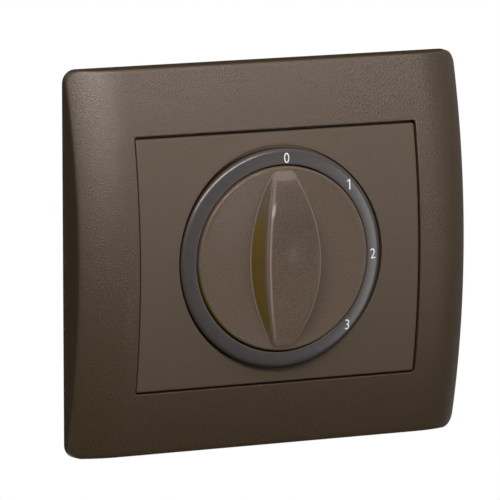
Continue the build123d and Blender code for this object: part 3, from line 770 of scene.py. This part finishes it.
# %% Plate: rim, underside and well
PLATE_CORNER, LEAST_CORNER = 0.45, 0.1
PLATE_PLAY, UNDER_LIMIT = 0.1, 8.0
KNOB_RADIUS, KNOB_GAP, WELL_WALL, WELL_BASE, BUSH_HOLE = knob_size.reach, 0.6, 1.3, 1.4, 6.4
WELL_RADIUS, WELL_FLOOR = KNOB_RADIUS + KNOB_GAP, plate_size.back + WELL_BASE
PLATE_SHADE_START, SHADE_RATE = 0.30, 2.5
plate_back = crown(LEDGE_FALL - PLATE_PLAY)


def plate_rim(inset):
    """Outline of the plate, moved in by some millimetres."""
    return rounded_line(PLATE_WIDTH - 2 * inset, PLATE_HEIGHT - 2 * inset,
                        max(PLATE_CORNER - inset, LEAST_CORNER), lower=(GAP_TOP - GAP_FOOT) / 2)


def underside(x, z):
    """Depth of the plate's underside, kept behind the ring's seat."""
    return min(plate_back(x, z), UNDER_LIMIT)


def plate_seam(x, depth, z):
    """Painted shade: how deep a point lies below the plate's rounded rim."""
    return SHADE_RATE * (plate_face(x, z) - depth - PLATE_SHADE_START)


print("well is", WELL_RADIUS, "mm in radius, its floor", WELL_FLOOR, "mm off the wall")

# %% [markdown]
# The plate is a skin as well. Its lines begin at the ring's seat, run out over the face to the rounded rim,
# turn under it, and come back along the underside and round the well. Round lines turn into the plate's
# outline on the way, so no line has to be cut.

# %% Plate: skin
RIM_ROUND, RIM_STEPS, SEAT_BREAK = 0.35, 4, 0.1
COVE_RADII = (LAND_EDGE, 24.4, 24.7, 25.0, 25.3, 25.6)
PLATE_SHARES = (0.04, 0.08, 0.13, 0.19, 0.26, 0.34, 0.43, 0.52, 0.61, 0.7, 0.8, 0.9, 0.98)
UNDER_INSET = 2.5 * RIM_ROUND
under_rim = plate_rim(UNDER_INSET)
well_outside = circle_line(WELL_RADIUS + WELL_WALL)
plate_lines = [at_depth(circle_line(SEAT_EDGE), behind_face(SEAT_BREAK))]
plate_lines += [at_depth(circle_line(radius), plate_face) for radius in (SEAT_EDGE + SEAT_BREAK, *COVE_RADII)]
plate_lines += [at_depth(between(circle_line(COVE_RADII[-1]), plate_rim(RIM_ROUND), share), plate_face)
                for share in PLATE_SHARES]
plate_lines += [at_depth(plate_rim(RIM_ROUND * (1 - math.sin(turn))),
                         behind_face(RIM_ROUND * (1 - math.cos(turn)))) for turn in quarter_turns(RIM_STEPS)]
plate_lines += [at_depth(plate_rim(0), plate_back), at_depth(under_rim, plate_back)]
plate_lines += [at_depth(between(under_rim, well_outside, share), underside) for share in (0.3, 0.6, 1.0)]
plate_lines += [at_depth(well_outside, plate_size.back)]
plate_lines += [at_depth(circle_line(radius), depth) for radius, depth in (
    (BUSH_HOLE, plate_size.back), (BUSH_HOLE, WELL_FLOOR), (WELL_RADIUS, WELL_FLOOR),
    (WELL_RADIUS, ring_size.back), (SEAT_EDGE, ring_size.back))]
cover_plate = skin("plate_shell", plate_lines, closed=True)
# Painted shade under the plate's rounded rim, in the gap.
paint_value(cover_plate, "painted_gap_shade", plate_seam)
complete(cover_plate, "base", plate_lacquer, ["cover_plate"])

# %% [markdown]
# The dial ring is a turned shape: one section all the way round. It could be a skin too, but drawing the
# section once and spinning it round the axis is shorter. Its face falls a little towards the outer edge,
# which has a large rounding. The edge at the bore is only broken.

# %% Dial ring: section
RING_RADIUS, RING_FACE, RING_SEAT = ring_size.reach, ring_size.front, ring_size.back
BORE_GAP = 0.3
RING_BORE = KNOB_RADIUS + BORE_GAP
RING_ROUND, RING_FALL, BORE_ROUND, BORE_STEPS, EDGE_DROP = 0.95, 0.16, 0.15, 4, 0.02
RING_FACE_RADII = (20.3, 20.7, 21.1, 21.5, 21.8, 22.1, 22.25, RING_RADIUS - RING_ROUND)
ROUND_ANGLES = (78, 66, 54, 42, 30, 18, 6, 0)


def ring_face(radius):
    """Depth of the ring's face, which falls a little towards its outer edge."""
    share = (radius - RING_BORE) / (RING_RADIUS - RING_ROUND - RING_BORE)
    return RING_FACE - RING_FALL * max(share, 0.0) ** 2


edge_top = ring_face(RING_RADIUS - RING_ROUND)
section = [(RING_BORE, RING_SEAT)]
section += [(RING_BORE + BORE_ROUND * (1 - math.cos(turn)), RING_FACE - BORE_ROUND * (1 - math.sin(turn)))
            for turn in quarter_turns(BORE_STEPS)]
section += [(radius, ring_face(radius)) for radius in RING_FACE_RADII]
section += [(RING_RADIUS - RING_ROUND * (1 - math.cos(turn)),
             edge_top - RING_ROUND * (1 - math.sin(turn)) - EDGE_DROP)
            for turn in (math.radians(angle) for angle in ROUND_ANGLES)]
section += [(RING_RADIUS, RING_SEAT)]
print("ring section has", len(section), "points")

# %% [markdown]
# The section is a closed loop of points, and spin sweeps it once round the knob axis. The last copy falls
# on the first, so the two are merged. The ring's outer wall stands in the gap beside the plate and gets
# painted shade.

# %% Dial ring: spin
RING_SHADE_START, RING_SHADE_RADIUS = 0.35, 23.0


def ring_seam(x, depth, z):
    """Painted shade: how deep a point of the ring's outer wall lies in the gap beside the plate."""
    outside = math.hypot(x, z) > RING_SHADE_RADIUS
    return SHADE_RATE * (edge_top - RING_SHADE_START - depth) * outside


clear_selection()
bpy.ops.mesh.primitive_circle_add(vertices=len(section), radius=mm)
dial_ring = bpy.context.object
dial_ring.name = dial_ring.data.name = "dial_band"
for vertex, (radius, depth) in zip(dial_ring.data.vertices, section):
    vertex.co = Vector((radius, -depth, 0)) * mm
bpy.ops.object.mode_set(mode="EDIT")
bpy.ops.mesh.select_all(action="SELECT")
bpy.ops.mesh.spin(steps=POINTS, angle=2 * math.pi, center=(0, 0, 0), axis=(0, 1, 0))
bpy.ops.mesh.select_all(action="SELECT")
bpy.ops.mesh.remove_doubles(threshold=2 * MERGE)
bpy.ops.object.mode_set(mode="OBJECT")
# Painted shade on the ring's outer wall, in the gap beside the plate.
paint_value(dial_ring, "painted_gap_shade", ring_seam)
complete(dial_ring, "base", dial_grey, ["dial_ring"])

# %% [markdown]
# The four positions are printed in white on the ring, about 45 degrees apart. A picture laid on the ring
# could hold them, but thin meshes stay sharp from near and far. Text objects give 0, 2 and 3. The print's
# figure 1 is plainer than the typeface's own, so it is drawn from two strips, an upright stroke and a flag.

# %% Numerals: figures
FIGURE_SIZE, FIGURE_WIDTH = 3.1, 0.88
ONE_HALF, ONE_STROKE, FLAG_REACH, ONE_CUTS = 1.1, 0.32, 0.46, 6
ONE_CORNERS = ((0.0, -ONE_HALF), (ONE_STROKE, -ONE_HALF), (0.0, ONE_HALF), (ONE_STROKE, ONE_HALF))
FLAG_CORNERS = ((-FLAG_REACH, 0.50), (0.0, 0.78), (-FLAG_REACH, 0.80), (0.0, ONE_HALF))
UPRIGHT = (math.pi / 2, 0, 0)


def drawn_one():
    """The figure 1, cut fine enough to follow the ring's falling face."""
    bpy.ops.mesh.primitive_plane_add(size=1, rotation=UPRIGHT)
    bpy.ops.object.transform_apply(location=False, rotation=True, scale=False)
    figure = bpy.context.object
    bpy.ops.object.mode_set(mode="EDIT")
    bpy.ops.mesh.primitive_plane_add(size=1, rotation=UPRIGHT)
    bpy.ops.object.mode_set(mode="OBJECT")
    for vertex, (x, z) in zip(figure.data.vertices, ONE_CORNERS + FLAG_CORNERS):
        vertex.co = Vector((x, 0, z)) * mm
    bpy.ops.object.mode_set(mode="EDIT")
    bpy.ops.mesh.select_all(action="SELECT")
    bpy.ops.mesh.subdivide(number_cuts=ONE_CUTS)
    bpy.ops.object.mode_set(mode="OBJECT")
    return figure


def typed_figure(number):
    """A figure of the typeface as a mesh, a little narrower than it comes."""
    bpy.ops.object.text_add(rotation=UPRIGHT)
    text = bpy.context.object
    text.data.body = str(number)
    text.data.size = FIGURE_SIZE * mm
    text.data.align_x = "CENTER"
    text.data.align_y = "CENTER"
    bpy.ops.object.convert(target="MESH")
    figure = bpy.context.object
    figure.scale = (FIGURE_WIDTH, 1, 1)
    return figure


print("figure 1 is", 2 * ONE_HALF, "mm high")

# %% [markdown]
# Each figure stands upright at its own place on the ring: an angle from the top, and a distance from the
# middle. A projection could lay it on the face. Here every point is set just in front of the ring's face,
# by the same rule that shaped the ring. The four are then joined into one layer of print.

# %% Numerals: print on the ring
FIGURE_PLACES = ((2.8, 21.1), (46.7, 21.5), (91.3, 21.3), (135.0, 21.6))
INK = 0.012
figures = []
for number, (swing, radius) in enumerate(FIGURE_PLACES):
    clear_selection()
    figure = drawn_one() if number == 1 else typed_figure(number)
    angle = math.radians(swing)
    figure.location = Vector((radius * math.sin(angle), 0, radius * math.cos(angle))) * mm
    bpy.ops.object.transform_apply(location=True, rotation=True, scale=True)
    for vertex in figure.data.vertices:
        vertex.co.y = -(ring_face(math.hypot(vertex.co.x, vertex.co.z) / mm) + INK) * mm
    figures.append(figure)
clear_selection()
for figure in figures:
    figure.select_set(True)
bpy.context.view_layer.objects.active = figures[0]
bpy.ops.object.join()
figures[0].name = figures[0].data.name = "dial_numerals"
complete(figures[0], "base", print_white)

# %% [markdown]
# The knob is a shallow cup with a lens-shaped grip across it. The grip's flanks lean in, and its back is an
# arch. Two long arcs, two flat ends and four corner arcs make the lens. It could be traced point by point,
# but arcs also tell which way faces out at every point, and all the grip's lines are moved in or out along
# that way.

# %% Knob: lens and arch
DISC_PROUD = 1.0
DISC = CROWN + DISC_PROUD
GRIP_HALF, GRIP_WIDE, GRIP_ARC, GRIP_CORNER = 18.8, 7.65, 35.2, 2.1
END_STEPS, TURN_STEPS = 6, 12
ARC_STEPS = POINTS // 4 - END_STEPS - TURN_STEPS
ARCH_TOP, ARCH_RADIUS = knob_size.front - DISC, 32.8


def lens_stations():
    """Points of the lens outline with the direction that faces out at each one."""
    centre = GRIP_WIDE - GRIP_ARC
    corner_z = GRIP_HALF - GRIP_CORNER
    corner_x = centre + math.sqrt((GRIP_ARC - GRIP_CORNER) ** 2 - corner_z ** 2)
    meet = math.atan2(corner_z, corner_x - centre)
    quarter = [((corner_x * step / END_STEPS, GRIP_HALF), (0.0, 1.0)) for step in range(END_STEPS)]
    for step in range(TURN_STEPS):
        turn = math.pi / 2 + (meet - math.pi / 2) * step / TURN_STEPS
        out = (math.cos(turn), math.sin(turn))
        quarter.append(((corner_x + GRIP_CORNER * out[0], corner_z + GRIP_CORNER * out[1]), out))
    for step in range(ARC_STEPS):
        turn = meet * (1 - step / ARC_STEPS)
        out = (math.cos(turn), math.sin(turn))
        quarter.append(((centre + GRIP_ARC * out[0], GRIP_ARC * out[1]), out))
    right = quarter + [((GRIP_WIDE, 0.0), (1.0, 0.0))]
    right += [((x, -z), (a, -b)) for (x, z), (a, b) in quarter[:0:-1]]
    left = [((-x, z), (-a, b)) for (x, z), (a, b) in right[:0:-1]]
    return right + [((0.0, -GRIP_HALF), (0.0, -1.0))] + left


def arch(z):
    """Height of the grip's back above the disc."""
    within = min(abs(z), GRIP_HALF)
    return math.sqrt(ARCH_RADIUS ** 2 - within ** 2) - (ARCH_RADIUS - ARCH_TOP)


grip_stations = lens_stations()
print("grip rises", round(arch(0), 3), "mm in its middle and", round(arch(GRIP_HALF), 3), "mm at its ends")

# %% [markdown]
# The flank leans in and meets the disc in a hollow curve. A bevel could make it, but with one size all
# round. A rule gives the curve its changing size instead: it shrinks where the grip is low.

# %% Knob: foot of the grip
FLANK = math.radians(15)
FOOT_ROUND, FOOT_SHARE = 0.5, 0.3
FOOT_REACH = 1 / math.tan((math.pi / 2 + FLANK) / 2)


def grip_line(rule):
    """A line round the grip: the rule gives its offset, and its height once the arch there is known."""
    points = []
    for (x, z), (a, b) in grip_stations:
        offset, height = rule(arch(z))
        height = height(arch(z + b * offset)) if callable(height) else height
        points.append((x + a * offset, -(DISC + height), z + b * offset))
    return points


def foot_curve(turn, spare=0.0):
    """Hollow curve where the flank meets the disc."""
    def rule(top):
        radius = min(FOOT_ROUND, FOOT_SHARE * top)
        return radius * (FOOT_REACH - math.sin(turn)) + spare, radius * (1 - math.cos(turn))
    return rule


print("flanks lean", round(math.degrees(FLANK)), "degrees")

# %% [markdown]
# The flank meets the arched back in a round curve, which widens towards the low ends of the grip, and the
# back swells a little in its middle. A smoothing modifier could soften the grip, but it would pull in its
# outline as well, and these rules leave the outline alone.

# %% Knob: arched back
BACK_ROUND, TALL_SHARE, END_WIDENING, BACK_SWELL = 0.8, 0.5, 0.6, 0.14


def back_edge_height(top):
    """Height of the back along its edge, a little below its middle."""
    return top - BACK_SWELL * top / ARCH_TOP


def back_curve(turn):
    """Round curve where the flank meets the arched back. It widens towards the low ends of the grip."""
    def rule(top):
        wide = BACK_ROUND + END_WIDENING * (1 - top / ARCH_TOP)
        offset = -back_edge_height(top) * math.tan(FLANK) - wide * (1 - math.cos(turn))

        def height(near):
            tall = min(BACK_ROUND, TALL_SHARE * back_edge_height(near))
            return back_edge_height(near) - tall * (1 - math.sin(turn))
        return offset, height
    return rule


def back_line(edge_line, share):
    """A line on the swelling back, part of the way from its edge to the middle."""
    points = []
    for x, y, z in edge_line:
        swell = BACK_SWELL * arch(z) / ARCH_TOP
        points.append((x * (1 - share), y - swell * (1 - (1 - share) ** 2), z))
    return points


print("back's edge is", round(back_edge_height(arch(0)), 3), "mm above the disc in its middle")

# %% [markdown]
# The knob's skin begins at the end of the spindle's socket and runs down the hub, along the cup's inside,
# round its rim and over the disc to the grip. There it climbs the flank and closes along the middle of the
# back. A turned cup and a separate grip would show a seam where they meet, and this way there is none.

# %% Knob: lines and skin
SOCKET_RADIUS, SOCKET_END, HUB_RADIUS, HUB_FOOT = 3.02, 14.59, 4.6, 8.224
CUP_WALL, CUP_BREAK, CUP_EDGE = 1.7, 0.15, knob_size.back
CUP_INSIDE, CUP_FLOOR = KNOB_RADIUS - CUP_WALL, DISC - CUP_WALL
DISC_ROUND, DISC_ROUND_STEPS, FOOT_SPARE = 0.5, 6, 0.12
FOOT_STEPS, BACK_STEPS, FLANK_SHARE = 5, 7, 0.76
STEEP = math.pi / 2 - FLANK
cup_section = ((SOCKET_RADIUS, SOCKET_END), (SOCKET_RADIUS, HUB_FOOT), (HUB_RADIUS, HUB_FOOT),
               (HUB_RADIUS, CUP_FLOOR), (CUP_INSIDE, CUP_FLOOR), (CUP_INSIDE, CUP_EDGE),
               (KNOB_RADIUS - CUP_BREAK, CUP_EDGE), (KNOB_RADIUS, CUP_EDGE + CUP_BREAK))
disc_rim = circle_line(KNOB_RADIUS - DISC_ROUND)
disc_end = grip_line(foot_curve(0, FOOT_SPARE))
disc_plan = [(x, z) for x, y, z in disc_end]
foot_lines = [grip_line(foot_curve(STEEP * step / FOOT_STEPS)) for step in range(FOOT_STEPS + 1)]
flank_foot, flank_top = foot_lines[-1], grip_line(back_curve(FLANK))
flank_high = [Vector(low).lerp(Vector(high), FLANK_SHARE) for low, high in zip(flank_foot, flank_top)]
back_lines = [grip_line(back_curve(FLANK + STEEP * step / BACK_STEPS)) for step in range(1, BACK_STEPS + 1)]

knob_lines = [at_depth(circle_line(radius), depth) for radius, depth in cup_section]
knob_lines += [at_depth(circle_line(KNOB_RADIUS - DISC_ROUND * (1 - math.cos(turn))),
                        DISC - DISC_ROUND * (1 - math.sin(turn))) for turn in quarter_turns(DISC_ROUND_STEPS)]
knob_lines += [at_depth(between(disc_rim, disc_plan, share), DISC) for share in (0.1, 0.4, 0.7)]
knob_lines += [disc_end] + foot_lines + [flank_high, flank_top] + back_lines
knob_lines += [back_line(back_lines[-1], share) for share in (0.08, 0.3, 0.6, 1.0)]
knob = skin("knob_shell", knob_lines)
pick_line(knob, knob_lines[0])
bpy.ops.mesh.edge_face_add()
bpy.ops.object.mode_set(mode="OBJECT")

# %% [markdown]
# The grip's flank shows a gold reflection, and its edges show pale, bright highlights. More lamps could
# try for that, but they would light the frame too. So the reflection on the flank, the light and shade
# along the grip and the highlights on the edges are painted as values on the lines that carry them, and the
# knob's material turns them into colour.

# %% Knob: painted gold reflection on the flanks
foot_places, high_places, top_places = places(flank_foot), places(flank_high), places(flank_top)
GOLD_ABOVE, GOLD_ABOVE_FADE, GOLD_BELOW, GOLD_BELOW_FADE = 12.5, 6.0, 16.0, 3.0
GOLD_HIGH, GRIP_TIP = 0.62, 2.5
RIM_GOLD, RIM_GOLD_FADE, RIM_SHARE = 0.8, 8.0, 0.6


def clamp(value):
    """Keep a value between 0 and 1."""
    return max(0.0, min(value, 1.0))


def is_on(tree, x, depth, z):
    """True where a vertex belongs to one of the lines that were kept."""
    return tree.find(Vector((x, -depth, z)) * mm)[2] < 2 * MERGE


def flank_gold(x, depth, z):
    """Painted reflection: the flank shows gold from its foot up, in its middle, and so does the lower half of
    the rim.
    """
    if math.hypot(x, z) > KNOB_RADIUS - RIM_SHARE * DISC_ROUND:
        return RIM_GOLD * clamp(-z / RIM_GOLD_FADE)
    along = z if x < 0 else -z
    middle = clamp(min((GOLD_ABOVE - along) / GOLD_ABOVE_FADE, (along + GOLD_BELOW) / GOLD_BELOW_FADE))
    middle *= abs(x) > GRIP_TIP
    if is_on(foot_places, x, depth, z):
        return middle
    return GOLD_HIGH * middle if is_on(high_places, x, depth, z) else 0.0


# Painted reflection in gold on the flanks and the lower rim.
paint_value(knob, "painted_flank_reflection", flank_gold)
print("gold painted on flanks and rim")

# %% [markdown]
# Of the other two values, one is painted light and shade: it makes the grip lighter towards its low end
# and a little darker towards the top. The other is painted highlights on the long edges, most of all low
# down, and a little on the ends. With these the knob is complete, and it is the one new piece that turns.

# %% Knob: painted light, shade and edge highlights
FLANK_TONE, TONE_GAIN, TONE_RATE, TONE_DARKEST = 0.035, 0.9, 0.041, -0.36
LIGHT_RISE, DARK_RISE = 0.5, 2.8
HIGHLIGHT_END, END_HIGHLIGHT, END_RISE = 16.8, 0.3, 0.3
TOP_HIGHLIGHT, EDGE_HIGHLIGHT, EDGE_HIGHLIGHT_FALL = 0.6, 0.75, 0.03
highlight_places = places([point for line in [foot_lines[2]] + back_lines[1:4] for point in line])


def end_tone(x, depth, z):
    """Painted light and shade: the grip is lighter towards its low end and a little darker towards its top.
    """
    if is_on(foot_places, x, depth, z) or is_on(high_places, x, depth, z):
        return FLANK_TONE * max(-z, 0.0)
    tone = max(TONE_GAIN * math.exp(-TONE_RATE * z) - 1, TONE_DARKEST)
    return tone * clamp((depth - DISC) / (LIGHT_RISE if tone > 0 else DARK_RISE))


def edge_polish(x, depth, z):
    """Painted highlights on the long edges, most of all low down, and a little on the two ends of the grip.
    """
    if abs(z) > HIGHLIGHT_END:
        return END_HIGHLIGHT * clamp((depth - DISC) / END_RISE)
    if is_on(top_places, x, depth, z):
        return TOP_HIGHLIGHT
    return (EDGE_HIGHLIGHT - EDGE_HIGHLIGHT_FALL * z) * is_on(highlight_places, x, depth, z)


# Painted light and shade along the grip.
paint_value(knob, "end", end_tone)
# Painted highlights on the grip's edges and ends.
paint_value(knob, "painted_highlight", edge_polish)
complete(knob, "rotor", knob_bronze, ["knob"])
